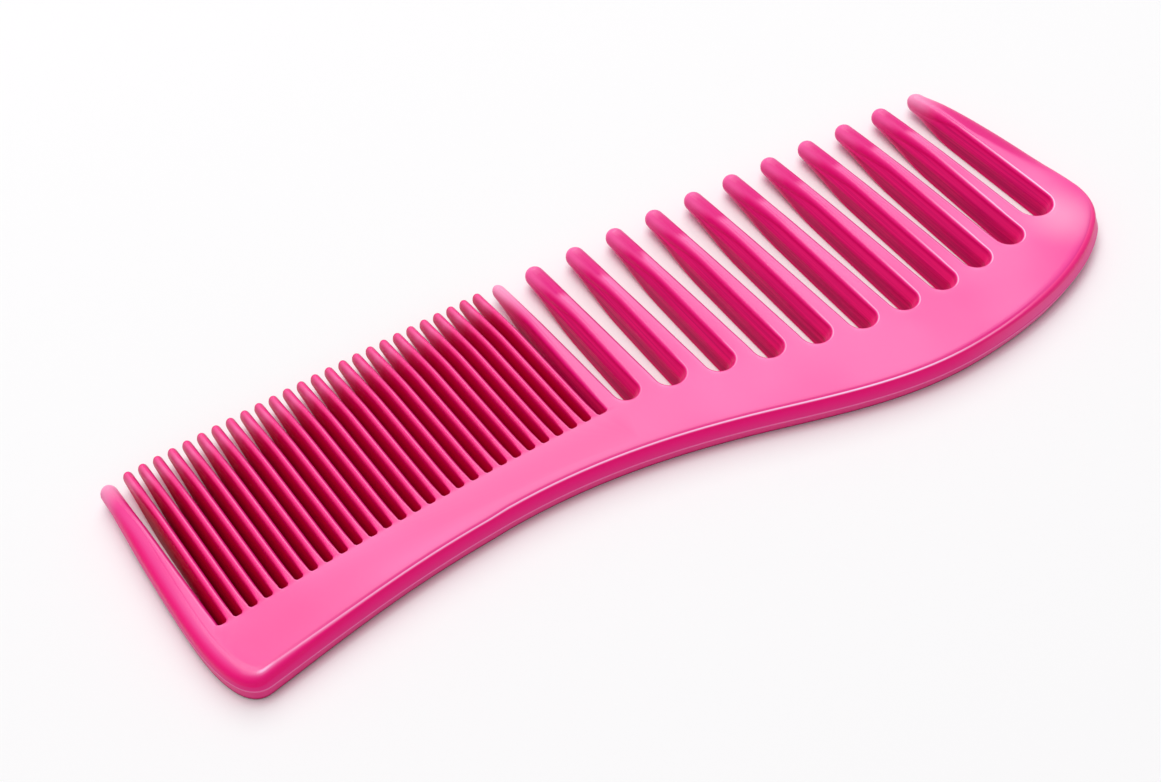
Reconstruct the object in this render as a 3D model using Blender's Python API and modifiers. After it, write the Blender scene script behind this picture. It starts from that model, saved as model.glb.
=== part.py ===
"""Wave comb, moulded in pink plastic and lying flat on its underside.

Metres, +Z up. X runs along the comb, from the heel beside the fine teeth to the wide end.
Y runs from the waved back to the tips of the teeth. The origin is the middle of the underside
of the whole comb, and the parting line of the mould runs round it at half its thickness.
"""

import math

import bmesh
import bpy
from mathutils import Vector
from mathutils.geometry import interpolate_bezier

# Plate: each wall leans out from both faces to the parting line, under a rounded rim.
THICKNESS = 0.0055
DRAFT = 0.00075
FINE_DRAFT = 0.0003
RIM = 0.00025
BACK_RIM = 0.00045
HEEL_RIM = 0.0021
END_BEVEL = 0.005
RIM_DEPTH_SHARE = 0.85
RIM_ROOM_SHARE = 0.9
WIDE_EDGE = (RIM, DRAFT)
FINE_EDGE = (RIM, FINE_DRAFT)
WIDTH = 0.0634

# Row of teeth, from the heel to the wide end. Widths are at the parting line, at the root.
HEEL_GUARD_WIDTH = 0.0048
FINE_COUNT = 26
FINE_PITCH = 0.00274
FINE_ROOT_WIDTH = 0.0018
LAST_FINE_GAP = 0.0013
MIDDLE_GUARD_WIDTH = 0.0040
FIRST_SLOT_WIDTH = 0.0030
WIDE_COUNT = 10
WIDE_PITCH = 0.0087
WIDE_ROOT_WIDTH = 0.0048
LAST_SLOT_WIDTH = 0.0053
END_GUARD_WIDTH = 0.0078

# Tips and roots lie on wide arcs that crest in the middle of the fine teeth.
FINE_LENGTH = 0.0364
TIP_ARC_RADIUS = 1.6
ROOT_ARC_RADIUS = 0.7
FINE_CORNER_RADIUS = 0.0005
LAST_CORNER_RADIUS = 0.0009
SPINE_DEPTH = 0.0145
ROOT_DEPTH_SHARES = (0.87, 0.93, 0.99, 1.0, 0.955, 0.83)
LAND_RISE = 0.0004

# Tips: width before the round end, length of the round end, and length of the thinning.
FINE_TIP_WIDTH = 0.0016
WIDE_TIP_WIDTH = 0.0036
MIDDLE_TIP_WIDTH = 0.0030
HEEL_TIP_WIDTH = 0.0030
END_TIP_WIDTH = 0.0042
FINE_CAP = 0.0011
WIDE_CAP = 0.0019
HEEL_TIP_DROP = 0.0004
HEEL_TIP_INSET = 0.0027
END_TIP_INSET = 0.0068
THINNING_LENGTH = 0.0105
TIP_THICKNESS = 0.0030
TIP_RIM_SHARE = 0.55
THINNING_POWER = 1.5
TAPER_POWER = 1.4

# Outer edge, as shares of the length and width: x, y, and the handles before and after each knot.
# It runs from the heel guard's tip, round the heel, the waist and the belly, to the end guard's tip.
KNOT_SHARES = (
    (-0.494, 0.399, 0.000, 0.000, -0.003, -0.130),
    (-0.500, -0.036, 0.000, 0.150, 0.000, -0.158),
    (-0.4635, -0.289, -0.027, -0.010, 0.074, 0.028),
    (-0.207, -0.222, -0.104, 0.000, 0.096, 0.000),
    (0.063, -0.371, -0.089, 0.090, 0.078, -0.078),
    (0.268, -0.500, -0.072, 0.000, 0.086, 0.000),
    (0.476, -0.347, -0.043, -0.099, 0.014, 0.032),
    (0.500, -0.194, 0.000, -0.064, 0.000, 0.170),
    (0.477, 0.335, 0.018, -0.137, 0.000, 0.000),
)
KNOT_RIMS = (HEEL_RIM, HEEL_RIM, BACK_RIM, BACK_RIM, BACK_RIM, BACK_RIM, BACK_RIM, BACK_RIM, END_BEVEL)
HEEL_KNOTS = 3
END_KNOTS = 3

# Fineness of the facets. A tooth has its steps along the straight part, and round its tip.
STEPS_PER_KNOT = 10
STEPS_PER_SLOT = 10
STEPS_PER_CORNER = 3
THINNING_STEPS = 3
FINE_STEPS = (1, 3)
WIDE_STEPS = (3, 4)
GUARD_STEPS = (6, 4)
MERGE_DISTANCE = 0.00001
SMOOTH_ANGLE = math.radians(40)

# The same plastic throughout: deeper in colour where it is thin and crowded, paler in the guards.
SPINE_PINK = (1.0, 0.17, 0.45, 1.0)
GUARD_PINK = (1.0, 0.26, 0.52, 1.0)
WIDE_PINK = (0.95, 0.13, 0.38, 1.0)
FINE_PINK = (0.80, 0.05, 0.22, 1.0)
PLASTIC_ROUGHNESS = 0.28

# Places that follow from the sizes above.
HALF = THICKNESS / 2
FINE_GAP = FINE_PITCH - FINE_ROOT_WIDTH
FINE_BANK = FINE_PITCH * (FINE_COUNT - 1) + FINE_ROOT_WIDTH
WIDE_BANK = WIDE_PITCH * (WIDE_COUNT - 1) + WIDE_ROOT_WIDTH
LENGTH = (
    HEEL_GUARD_WIDTH + FINE_GAP + FINE_BANK + LAST_FINE_GAP + MIDDLE_GUARD_WIDTH
    + FIRST_SLOT_WIDTH + WIDE_BANK + LAST_SLOT_WIDTH + END_GUARD_WIDTH
)
HEEL_INNER = HEEL_GUARD_WIDTH - LENGTH / 2
FINE_START = HEEL_INNER + FINE_GAP
FINE_END = FINE_START + FINE_BANK
MIDDLE_START = FINE_END + LAST_FINE_GAP
MIDDLE_END = MIDDLE_START + MIDDLE_GUARD_WIDTH
WIDE_START = MIDDLE_END + FIRST_SLOT_WIDTH
WIDE_END = WIDE_START + WIDE_BANK
END_INNER = WIDE_END + LAST_SLOT_WIDTH
CREST = (FINE_START + FINE_END) / 2

# What is trimmed runs past its cut by more than the broadest rim leans in.
OVERRUN = END_BEVEL + DRAFT + LAND_RISE


def blend(start, end, share):
    return start + (end - start) * share


def sag(x, radius):
    """How far an arc that crests over the fine teeth has dropped at x."""
    return radius - math.sqrt(radius**2 - (x - CREST) ** 2)


def tip_y(x):
    return WIDTH / 2 - sag(x, TIP_ARC_RADIUS)


def fine_root_y(x):
    return WIDTH / 2 - FINE_LENGTH - sag(x, ROOT_ARC_RADIUS)


def fine_axis(index):
    return FINE_START + FINE_ROOT_WIDTH / 2 + FINE_PITCH * index


def wide_axis(index):
    return WIDE_START + WIDE_ROOT_WIDTH / 2 + WIDE_PITCH * index


def outer_edge():
    """(x, y, rim, draft) along the outer edge, and the index of each knot's point."""
    path, knots = [], []
    for index in range(len(KNOT_SHARES) - 1):
        here, after = KNOT_SHARES[index], KNOT_SHARES[index + 1]
        start = Vector((here[0] * LENGTH, here[1] * WIDTH))
        end = Vector((after[0] * LENGTH, after[1] * WIDTH))
        leaving = start + Vector((here[4] * LENGTH, here[5] * WIDTH))
        arriving = end + Vector((after[2] * LENGTH, after[3] * WIDTH))
        knots.append(len(path))
        for step, point in enumerate(interpolate_bezier(start, leaving, arriving, end, STEPS_PER_KNOT + 1)):
            if step < STEPS_PER_KNOT:
                rim = blend(KNOT_RIMS[index], KNOT_RIMS[index + 1], step / STEPS_PER_KNOT)
                path.append((point.x, point.y, rim, DRAFT))
    knots.append(len(path))
    path.append((end.x, end.y, KNOT_RIMS[-1], DRAFT))
    return path, knots


PATH, KNOT_PLACES = outer_edge()
HEEL_SIDE = PATH[: KNOT_PLACES[HEEL_KNOTS - 1] + 1]
END_SIDE = PATH[KNOT_PLACES[-END_KNOTS] :]


def between(points, value, axis):
    """The point of a path at this value of one axis, on the first stretch that reaches it."""
    for here, after in zip(points, points[1:]):
        low, high = sorted((here[axis], after[axis]))
        if low <= value <= high and high > low:
            share = (value - here[axis]) / (after[axis] - here[axis])
            return tuple(blend(a, b, share) for a, b in zip(here, after))
    nearest = min(points, key=lambda point: abs(point[axis] - value))
    return tuple(nearest)


def back_y(x):
    """The waved back's place in Y, below a point of the wide teeth."""
    return between(PATH[KNOT_PLACES[HEEL_KNOTS - 1] :], x, 0)[1]


def slots():
    """(left, right, root) of each wide slot: its two walls and the lowest point of its round end."""
    found = []
    for index in range(WIDE_COUNT + 1):
        left = MIDDLE_END if index == 0 else wide_axis(index - 1) + WIDE_ROOT_WIDTH / 2
        right = END_INNER if index == WIDE_COUNT else wide_axis(index) - WIDE_ROOT_WIDTH / 2
        place = index / WIDE_COUNT * (len(ROOT_DEPTH_SHARES) - 1)
        lower = min(int(place), len(ROOT_DEPTH_SHARES) - 2)
        share = blend(ROOT_DEPTH_SHARES[lower], ROOT_DEPTH_SHARES[lower + 1], place - lower)
        found.append((left, right, back_y((left + right) / 2) + SPINE_DEPTH * share))
    return found


SLOTS = slots()


def spring(slot):
    """Where the round end of a slot meets its straight walls."""
    left, right, root = slot
    return root + (right - left) / 2


# Lands: the flat seats on the spine where the teeth and guards stand.
HEEL_LAND = fine_root_y(FINE_START) + FINE_CORNER_RADIUS + LAND_RISE
FINE_LANDS = [fine_root_y(fine_axis(index)) + LAND_RISE for index in range(FINE_COUNT)]
MIDDLE_LAND = max(spring(SLOTS[0]), fine_root_y(FINE_END) + LAST_CORNER_RADIUS) + LAND_RISE
WIDE_LANDS = [max(spring(before), spring(after)) + LAND_RISE for before, after in zip(SLOTS, SLOTS[1:])]
END_LAND = spring(SLOTS[-1]) + LAND_RISE


def plastic(name, colour):
    material = bpy.data.materials.new(name)
    material.use_nodes = True
    shader = material.node_tree.nodes["Principled BSDF"]
    shader.inputs["Base Color"].default_value = colour
    shader.inputs["Roughness"].default_value = PLASTIC_ROUGHNESS
    shader.inputs["Metallic"].default_value = 0.0
    material.diffuse_color = colour
    return material


def arc(centre_x, centre_y, radius, start, end, steps, edge):
    """Points of an arc, from one angle to another in degrees."""
    points = []
    for step in range(steps + 1):
        angle = math.radians(blend(start, end, step / steps))
        points.append((centre_x + radius * math.cos(angle), centre_y + radius * math.sin(angle), *edge))
    return points


def stub(left, right, land, left_edge, right_edge):
    """The start of a tooth on the spine, right side first, standing past its land."""
    return [(right, land + OVERRUN, *right_edge), (left, land + OVERRUN, *left_edge)]


def spine_outline():
    """The spine at the parting line, counter-clockwise, with a stub under each tooth and guard."""
    first = max(i for i, point in enumerate(HEEL_SIDE) if point[1] > HEEL_LAND)
    last = min(i for i, point in enumerate(END_SIDE) if point[1] > END_LAND)
    heel_top = between(HEEL_SIDE, HEEL_SIDE[first][1] + OVERRUN, 1)
    end_top = between(END_SIDE, END_SIDE[last][1] + OVERRUN, 1)
    outer = PATH[first : KNOT_PLACES[-END_KNOTS] + last + 1]
    outline = [heel_top, *outer, end_top, (END_INNER, end_top[1], *WIDE_EDGE)]

    for index in range(WIDE_COUNT, -1, -1):
        left, right, _ = SLOTS[index]
        middle, radius = (left + right) / 2, (right - left) / 2
        outline += arc(middle, spring(SLOTS[index]), radius, 360, 180, STEPS_PER_SLOT, WIDE_EDGE)
        if index > 0:
            tooth_left = wide_axis(index - 1) - WIDE_ROOT_WIDTH / 2
            outline += stub(tooth_left, left, WIDE_LANDS[index - 1], WIDE_EDGE, WIDE_EDGE)
    outline += stub(MIDDLE_START, MIDDLE_END, MIDDLE_LAND, FINE_EDGE, WIDE_EDGE)

    corner = LAST_CORNER_RADIUS
    floor = fine_root_y(MIDDLE_START)
    outline += arc(MIDDLE_START - corner, floor + corner, corner, 360, 270, STEPS_PER_CORNER, FINE_EDGE)
    for index in range(FINE_COUNT - 1, -1, -1):
        left = fine_axis(index) - FINE_ROOT_WIDTH / 2
        right = fine_axis(index) + FINE_ROOT_WIDTH / 2
        outline.append((right, fine_root_y(right), *FINE_EDGE))
        outline += stub(left, right, FINE_LANDS[index], FINE_EDGE, FINE_EDGE)
        outline.append((left, fine_root_y(left), *FINE_EDGE))
    corner = FINE_CORNER_RADIUS
    floor = fine_root_y(HEEL_INNER)
    outline += arc(HEEL_INNER + corner, floor + corner, corner, 270, 180, STEPS_PER_CORNER, FINE_EDGE)
    outline.append((HEEL_INNER, heel_top[1], *FINE_EDGE))
    return outline


def corner_directions(outline):
    """For each corner, the step that moves both of its sides inwards by one."""
    directions = []
    for before, here, after in zip(outline[-1:] + outline[:-1], outline, outline[1:] + outline[:1]):
        arriving = Vector((here[0] - before[0], here[1] - before[1])).normalized()
        leaving = Vector((after[0] - here[0], after[1] - here[1])).normalized()
        inward = Vector((-arriving.y, arriving.x)), Vector((-leaving.y, leaving.x))
        directions.append((inward[0] + inward[1]) / (1 + inward[0].dot(inward[1])))
    return directions


def rim_profile(half, rim, draft):
    """(inset, height) from the parting line over the rounded rim to the face."""
    deep = min(rim, half * RIM_DEPTH_SHARE)
    near = 1 - math.sqrt(0.5)
    return ((0.0, 0.0), (draft, half - deep), (draft + rim * near, half - deep * near), (draft + rim, half))


def extrude_through(rings):
    """A mesh whose first ring is a face that is extruded to each ring after it."""
    mesh = bmesh.new()
    place = mesh.verts.layers.int.new("place")
    face = mesh.faces.new([mesh.verts.new(point) for point in rings[0]])
    for index, vertex in enumerate(face.verts):
        vertex[place] = index
    for ring in rings[1:]:
        made = bmesh.ops.extrude_face_region(mesh, geom=[face, *face.edges, *face.verts])["geom"]
        face = next(item for item in made if isinstance(item, bmesh.types.BMFace))
        for vertex in face.verts:
            vertex.co = ring[vertex[place]]
    return mesh, face


def finished(name, mesh, location, material, parent, collection):
    bmesh.ops.recalc_face_normals(mesh, faces=mesh.faces)
    data = bpy.data.meshes.new(name)
    mesh.to_mesh(data)
    mesh.free()
    data.materials.append(material)
    data.shade_smooth()
    data.set_sharp_from_angle(angle=SMOOTH_ANGLE)
    made = bpy.data.objects.new(name, data)
    made.location = location
    made.parent = parent
    collection.objects.link(made)
    return made


def land_cutter(collection):
    """Everything above the lands, as one block with a step under each tooth and guard."""
    spans = [(-LENGTH / 2 - OVERRUN, HEEL_INNER + FINE_GAP / 2, HEEL_LAND)]
    for index in range(FINE_COUNT):
        start, middle = spans[-1][1], fine_axis(index)
        end = (FINE_END + MIDDLE_START) / 2 if index == FINE_COUNT - 1 else middle + FINE_PITCH / 2
        spans.append((start, end, FINE_LANDS[index]))
    spans.append((spans[-1][1], (MIDDLE_END + WIDE_START) / 2, MIDDLE_LAND))
    for index in range(WIDE_COUNT):
        _, right, _ = SLOTS[index + 1]
        end = (wide_axis(index) + WIDE_ROOT_WIDTH / 2 + right) / 2
        spans.append((spans[-1][1], end, WIDE_LANDS[index]))
    spans.append((spans[-1][1], LENGTH / 2 + OVERRUN, END_LAND))

    steps = [point for start, end, land in spans for point in ((start, land), (end, land))]
    top = WIDTH / 2
    outline = [*steps, (spans[-1][1], top), (spans[0][0], top)]
    low, high = -HALF - OVERRUN, HALF + OVERRUN
    mesh, _ = extrude_through([[(x, y, low) for x, y in outline], [(x, y, high) for x, y in outline]])
    bmesh.ops.recalc_face_normals(mesh, faces=mesh.faces)
    data = bpy.data.meshes.new("land_cutter")
    mesh.to_mesh(data)
    mesh.free()
    cutter = bpy.data.objects.new("land_cutter", data)
    cutter.location = (0, 0, HALF)
    cutter.hide_render = True
    cutter.display_type = "WIRE"
    collection.objects.link(cutter)
    return cutter


def build_spine(material, parent, collection, cutters):
    """Half of the spine above the parting line, mirrored below it and trimmed flat at the lands."""
    outline = spine_outline()
    inwards = corner_directions(outline)
    rings = []
    for level in range(len(rim_profile(HALF, *WIDE_EDGE))):
        ring = []
        for (x, y, rim, draft), inward in zip(outline, inwards):
            inset, height = rim_profile(HALF, rim, draft)[level]
            ring.append((x + inward.x * inset, y + inward.y * inset, height))
        rings.append(ring)
    mesh, _ = extrude_through(rings)
    parting_face = [face for face in mesh.faces if not any(vertex.co.z for vertex in face.verts)]
    bmesh.ops.delete(mesh, geom=parting_face, context="FACES_ONLY")
    spine = finished("spine", mesh, (0, 0, HALF), material, parent, collection)
    mirror = spine.modifiers.new("other_face", "MIRROR")
    mirror.use_axis = (False, False, True)
    mirror.merge_threshold = MERGE_DISTANCE
    trim = spine.modifiers.new("lands", "BOOLEAN")
    trim.operation = "DIFFERENCE"
    trim.object = land_cutter(cutters)
    return spine


def section(left, right, half, left_edge, right_edge):
    """A tooth cut across: pointed at the parting line on both sides, with rounded rims."""
    crowding = max(1.0, (sum(left_edge) + sum(right_edge)) / (right - left) / RIM_ROOM_SHARE)
    left_side = rim_profile(half, *(size / crowding for size in left_edge))
    right_side = rim_profile(half, *(size / crowding for size in right_edge))
    upper_right = [(right - inset, height) for inset, height in right_side]
    upper_left = [(left + inset, height) for inset, height in reversed(left_side)]
    lower_left = [(left + inset, -height) for inset, height in left_side[1:]]
    lower_right = [(right - inset, -height) for inset, height in reversed(right_side[1:])]
    return upper_right + upper_left + lower_left + lower_right


def build_tooth(name, sides, land, tip, cap, steps, material, parent, collection):
    """A tooth or guard from its land to its tip.

    sides(y) gives its left and right walls and their edges, tip is the tip's (x, y), and cap is the
    length of its round end. Its rims grow rounder all the way, and it thins over THINNING_LENGTH.
    """
    tip_x, top = tip
    shoulder = top - cap
    thin_from = max(top - THINNING_LENGTH, (land + shoulder) / 2)
    shank_steps, cap_steps = steps
    places = [blend(land, thin_from, step / shank_steps) for step in range(shank_steps + 1)]
    places += [blend(thin_from, shoulder, (step + 1) / THINNING_STEPS) for step in range(THINNING_STEPS)]
    places += [top - cap * (1 - math.sin(math.pi / 2 * step / cap_steps)) for step in range(1, cap_steps)]
    seat_x = sum(sides(land)[:2]) / 2
    rings = []
    for y in places:
        left, right, left_edge, right_edge = sides(min(y, shoulder))
        thinned = max(0.0, (min(y, shoulder) - thin_from) / (shoulder - thin_from))
        half = blend(HALF, TIP_THICKNESS / 2, thinned**THINNING_POWER)
        rounder = (right - left) / 2 * TIP_RIM_SHARE * (min(y, shoulder) - land) / (shoulder - land)
        if y > shoulder:
            roundness = math.sqrt(1 - ((y - shoulder) / cap) ** 2)
            left = blend(tip_x, left, roundness)
            right = blend(tip_x, right, roundness)
            half *= roundness
        edges = [(max(rim, rounder), draft * half / HALF) for rim, draft in (left_edge, right_edge)]
        ring = section(left, right, half, *edges)
        rings.append([(x - seat_x, y - land, z) for x, z in ring])
    mesh, last = extrude_through(rings)
    bmesh.ops.pointmerge(mesh, verts=last.verts, merge_co=(tip_x - seat_x, top - land, 0))
    return finished(name, mesh, (seat_x, land, HALF), material, parent, collection)


def even_sides(axis, root_width, tip_width, land, cap, left_edge, right_edge):
    """Walls of a tooth that tapers evenly on both sides of its axis."""
    shoulder = tip_y(axis) - cap

    def sides(y):
        half_width = blend(root_width, tip_width, ((y - land) / (shoulder - land)) ** TAPER_POWER) / 2
        return axis - half_width, axis + half_width, left_edge, right_edge

    return sides


def build_fine_teeth(material, parent, collection):
    for index in range(FINE_COUNT):
        axis, land = fine_axis(index), FINE_LANDS[index]
        sides = even_sides(axis, FINE_ROOT_WIDTH, FINE_TIP_WIDTH, land, FINE_CAP, FINE_EDGE, FINE_EDGE)
        name = f"fine_tooth_{index + 1:02d}"
        tip = (axis, tip_y(axis))
        build_tooth(name, sides, land, tip, FINE_CAP, FINE_STEPS, material, parent, collection)


def build_wide_teeth(material, parent, collection):
    for index in range(WIDE_COUNT):
        axis, land = wide_axis(index), WIDE_LANDS[index]
        sides = even_sides(axis, WIDE_ROOT_WIDTH, WIDE_TIP_WIDTH, land, WIDE_CAP, WIDE_EDGE, WIDE_EDGE)
        name = f"wide_tooth_{index + 1:02d}"
        tip = (axis, tip_y(axis))
        build_tooth(name, sides, land, tip, WIDE_CAP, WIDE_STEPS, material, parent, collection)


def build_guards(material, parent, collection):
    """The three broad teeth that close and divide the two banks."""
    middle_axis = (MIDDLE_START + MIDDLE_END) / 2
    middle_sides = even_sides(
        middle_axis, MIDDLE_GUARD_WIDTH, MIDDLE_TIP_WIDTH, MIDDLE_LAND, WIDE_CAP, FINE_EDGE, WIDE_EDGE
    )
    middle_tip = (middle_axis, tip_y(middle_axis))

    heel_x = HEEL_TIP_INSET - LENGTH / 2
    heel_tip = (heel_x, tip_y(heel_x) - HEEL_TIP_DROP)

    def heel_sides(y):
        left, _, *edge = between(HEEL_SIDE, y, 1)
        share = (y - HEEL_LAND) / (heel_tip[1] - WIDE_CAP - HEEL_LAND)
        tip_right = between(HEEL_SIDE, heel_tip[1] - WIDE_CAP, 1)[0] + HEEL_TIP_WIDTH
        return left, blend(HEEL_INNER, tip_right, share), edge, FINE_EDGE

    end_x = LENGTH / 2 - END_TIP_INSET
    end_tip = (end_x, tip_y(end_x))

    def end_sides(y):
        right, _, *edge = between(END_SIDE, y, 1)
        share = (y - END_LAND) / (end_tip[1] - WIDE_CAP - END_LAND)
        tip_left = between(END_SIDE, end_tip[1] - WIDE_CAP, 1)[0] - END_TIP_WIDTH
        return blend(END_INNER, tip_left, share), right, WIDE_EDGE, edge

    for name, sides, land, tip in (
        ("heel_guard", heel_sides, HEEL_LAND, heel_tip),
        ("middle_guard", middle_sides, MIDDLE_LAND, middle_tip),
        ("end_guard", end_sides, END_LAND, end_tip),
    ):
        build_tooth(name, sides, land, tip, WIDE_CAP, GUARD_STEPS, material, parent, collection)


def main():
    for thing in list(bpy.data.objects):
        bpy.data.objects.remove(thing)
    parts = bpy.data.collections.new("wave_comb")
    cutters = bpy.data.collections.new("cutters")
    bpy.context.scene.collection.children.link(parts)
    bpy.context.scene.collection.children.link(cutters)
    comb = bpy.data.objects.new("wave_comb", None)
    parts.objects.link(comb)

    build_spine(plastic("spine_pink", SPINE_PINK), comb, parts, cutters)
    build_guards(plastic("guard_pink", GUARD_PINK), comb, parts)
    build_fine_teeth(plastic("fine_pink", FINE_PINK), comb, parts)
    build_wide_teeth(plastic("wide_pink", WIDE_PINK), comb, parts)


main()
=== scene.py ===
import math

import bpy
import numpy as np
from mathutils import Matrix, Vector
from mathutils.geometry import interpolate_bezier


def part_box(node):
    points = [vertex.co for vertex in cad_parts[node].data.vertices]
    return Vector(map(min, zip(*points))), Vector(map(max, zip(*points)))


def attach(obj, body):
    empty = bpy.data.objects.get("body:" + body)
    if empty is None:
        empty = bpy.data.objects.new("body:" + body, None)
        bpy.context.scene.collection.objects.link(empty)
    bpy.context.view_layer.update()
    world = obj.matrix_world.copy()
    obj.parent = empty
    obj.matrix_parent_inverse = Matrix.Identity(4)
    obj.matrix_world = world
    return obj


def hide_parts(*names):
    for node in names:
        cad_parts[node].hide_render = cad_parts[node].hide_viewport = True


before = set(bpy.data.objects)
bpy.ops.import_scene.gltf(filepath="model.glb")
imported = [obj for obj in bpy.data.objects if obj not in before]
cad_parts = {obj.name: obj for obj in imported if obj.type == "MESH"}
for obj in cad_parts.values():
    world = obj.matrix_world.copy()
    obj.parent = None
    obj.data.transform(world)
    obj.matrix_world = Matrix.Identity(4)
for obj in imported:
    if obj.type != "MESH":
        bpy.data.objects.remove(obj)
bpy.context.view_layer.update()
print("frame loaded:", len(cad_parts), "nodes")

# sizes of the moulding in metres, read off the photo and kept in step with the solids
comb = {
    "length": 0.18054,
    "width": 0.0634,
    "halfThickness": 0.00275,
    "fineCount": 26,
    "wideCount": 10,
    "spineDepth": 0.0145,
    "slotDepthShares": (0.87, 0.93, 0.99, 1.0, 0.955, 0.83),
    "heelGap": 0.00094,           # between the heel guard and the first fine tooth
    "endGuardWidth": 0.0078,      # from the end guard's inner wall to the comb's end
    "fineRootDrop": 0.0004,       # from a fine tooth's seat down to the floor of its gap
    "fineEndDepth": 0.00007,      # the fine gaps end nearly square

    "wideLean": 0.00075,          # how far a wall leans out to the parting line
    "fineLean": 0.00026,
    "guardLean": 0.00025,
    "slotRim": 0.00050,           # roundness of the edges round the wide slots
    "shoulderRim": 0.00065,       # and up the wide teeth
    "fineRim": 0.00052,
    "fineEndRim": 0.00012,
    "backRim": 0.00055,
    "cornerRim": 0.0012,          # softer round the wide end's corner
    "heelRim": 0.0023,
    "rimDepthShare": 0.85,        # how deep a rounded edge goes, as a share of half the thickness
    "heelDepthShare": 0.60,
    "endDepthShare": 0.80,
    "tipDepthShare": 0.97,
    "tipRimShare": 0.90,          # a tip is rounded nearly all the way across
    "endChamfer": 0.3,            # how flat the end guard's bevel is
    "underRim": 0.00015,          # below the parting line the gap walls go on widening
    "outerUnderRim": 0.00022,
    "wideUnderFlare": 0.00060,
    "fineUnderFlare": 0.00052,

    "wideCap": 0.0019,            # length of a round tip
    "endCap": 0.0023,
    "fineCap": 0.0010,
    "wideTipThick": 0.0018,       # half the thickness at the tip
    "heelTipThick": 0.0016,
    "middleTipThick": 0.0013,
    "fineTipThick": 0.0014,
    "wideTipHalf": 0.0018,        # half the width where the round tip begins
    "middleTipHalf": 0.0012,
    "fineTipHalf": 0.0009,
    "heelTipWidth": 0.0030,
    "heelTipInset": 0.0027,       # from the comb's end to the middle of the tip
    "endTipWidth": 0.0046,
    "endTipInset": 0.0071,
    "endTipLean": 0.37,           # how the end guard's far side leans in beyond its last knot
    "heelAxis": (0.72, 0.5),      # where the guards' crests lie across them, below and at the tip
    "endAxis": (0.24, 0.45),
    "thinning": 0.0140,           # length over which a tooth grows thin
    "wideThinning": 0.0180,
    "thinningPower": 1.5,
    "taperPower": 1.4,
    "rimPower": 1.5,
    "fineRootPower": 3.0,

    "beadOut": 0.00005,           # the fine line where the two halves of the mould met
    "beadHigh": 0.00020,
    "innerBeadShare": 0.1,        # how much of its height is left between the teeth
    "beadRoom": 0.5,              # it takes at most this share of a wall
    "beadFoot": 1.8,              # where the wall begins, in widths of the line
    "spineCrown": 0.00006,
    "wideCrown": 0.00008,
    "fineCrown": 0.00003,
    "tipCrown": 0.00003,
    "lip": 0.00007,               # shallow dip just inside the back's rounded edge
    "spineReach": 0.0040,         # how far the loops reach in from the outline
    "slotReach": 0.0030,
    "slotSideReach": 0.0022,
    "fineReach": 0.0012,
    "fineSideReach": 0.00085,
    "sideShare": 0.96,            # just short of the middle of a tooth
    "leastAcross": 0.01,

    # below and above a seat, where the slot's rim turns into the tooth's, and the loops into a guard
    "seatBlend": (0.001, 0.004),
    "guardTurn": (0.011, 0.001),
    "chamferRise": (-0.012, 0.0),                     # up the end guard
    # painted shade on the end guard's far side comes in up the guard
    "flushRise": (-0.012, 0.002),
    "tipAwayShade": 0.6,                                  # share of the painted shade lost towards the tip
    "flushPatch": (0.0108, 0.0098, 0.002, 0.0005),    # painted shade patch behind a tip, where the top slopes away from the light: comes, full, goes, gone
    "fineLight": (0.007, 0.002, 0.001),               # painted light on a fine tooth's left: comes, full, goes
    # share of the painted shade on right edges lost at the tip
    "tipDusk": 0.5,
    "tipShallow": 0.6,                                # share of the walls' colour and painted shade lost at the tip
    "deepFade": 0.005,
    "slotGleams": (0.15, 0.85),                       # the painted highlights on the slots' rims grow towards the wide end
    "toothGleams": (0.003, 0.024),                    # and further up the teeth
    "rimShine": (-0.3, 0.7),                          # from left to right of a slot's round end
    "rimLee": (-1.2, 0.0),
    # painted light on the wall where the back turns up to the wide end
    "bandGlow": 0.5,

    "stepsPerKnot": 18,
    "mergeReach": 0.00001,
}

# outer edge as shares of length and width: x, y, handle before, handle after
outerKnots = (
    (-0.494, 0.399, 0.000, 0.000, -0.003, -0.130),
    (-0.500, -0.036, 0.000, 0.150, 0.000, -0.158),
    (-0.4635, -0.289, -0.027, -0.010, 0.074, 0.028),
    (-0.207, -0.222, -0.104, 0.000, 0.096, 0.000),
    (0.063, -0.371, -0.089, 0.090, 0.078, -0.078),
    (0.268, -0.500, -0.072, 0.000, 0.086, 0.000),
    (0.476, -0.347, -0.043, -0.099, 0.014, 0.032),
    (0.500, -0.194, 0.000, -0.064, 0.000, 0.170),
    (0.477, 0.335, 0.018, -0.137, 0.000, 0.000),
)

# places on the outer edge by knot, and stretches over which a look comes or goes
edgeKnots = {
    "heelCorner": 2,
    "heelGuard": 3,               # the heel guard's looks have faded out by here
    "endCorner": 6,
    "heelBevel": (1.45, 2.6),     # the heel's broad bevel narrows to the back's edge
    "heelLip": (1.8, 2.6),
    "lipFade": (5.0, 5.7),
    "corner": (5.0, 6.0),
    "endLean": (5.9, 6.8),
    "bandStart": (4.8, 5.4),      # the painted darker band, with painted light on the wall below, where the back turns up to the wide end
    "bandEnd": (6.1, 6.8),
    "farSide": (6.2, 6.8),
}

# how strongly the painted highlight shows on the back's rounded edge: knot, strength
edgeGleam = (
    (0, 0), (1.7, 0.05), (1.86, 0.2), (1.93, 0.75), (2.0, 0.75), (2.06, 0.25), (2.2, 0.4), (2.5, 0.45),
    (3, 0.6), (4, 0.8), (4.4, 1), (4.75, 0.8), (5.0, 0.35), (5.3, 0.06), (8, 0),
)

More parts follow.
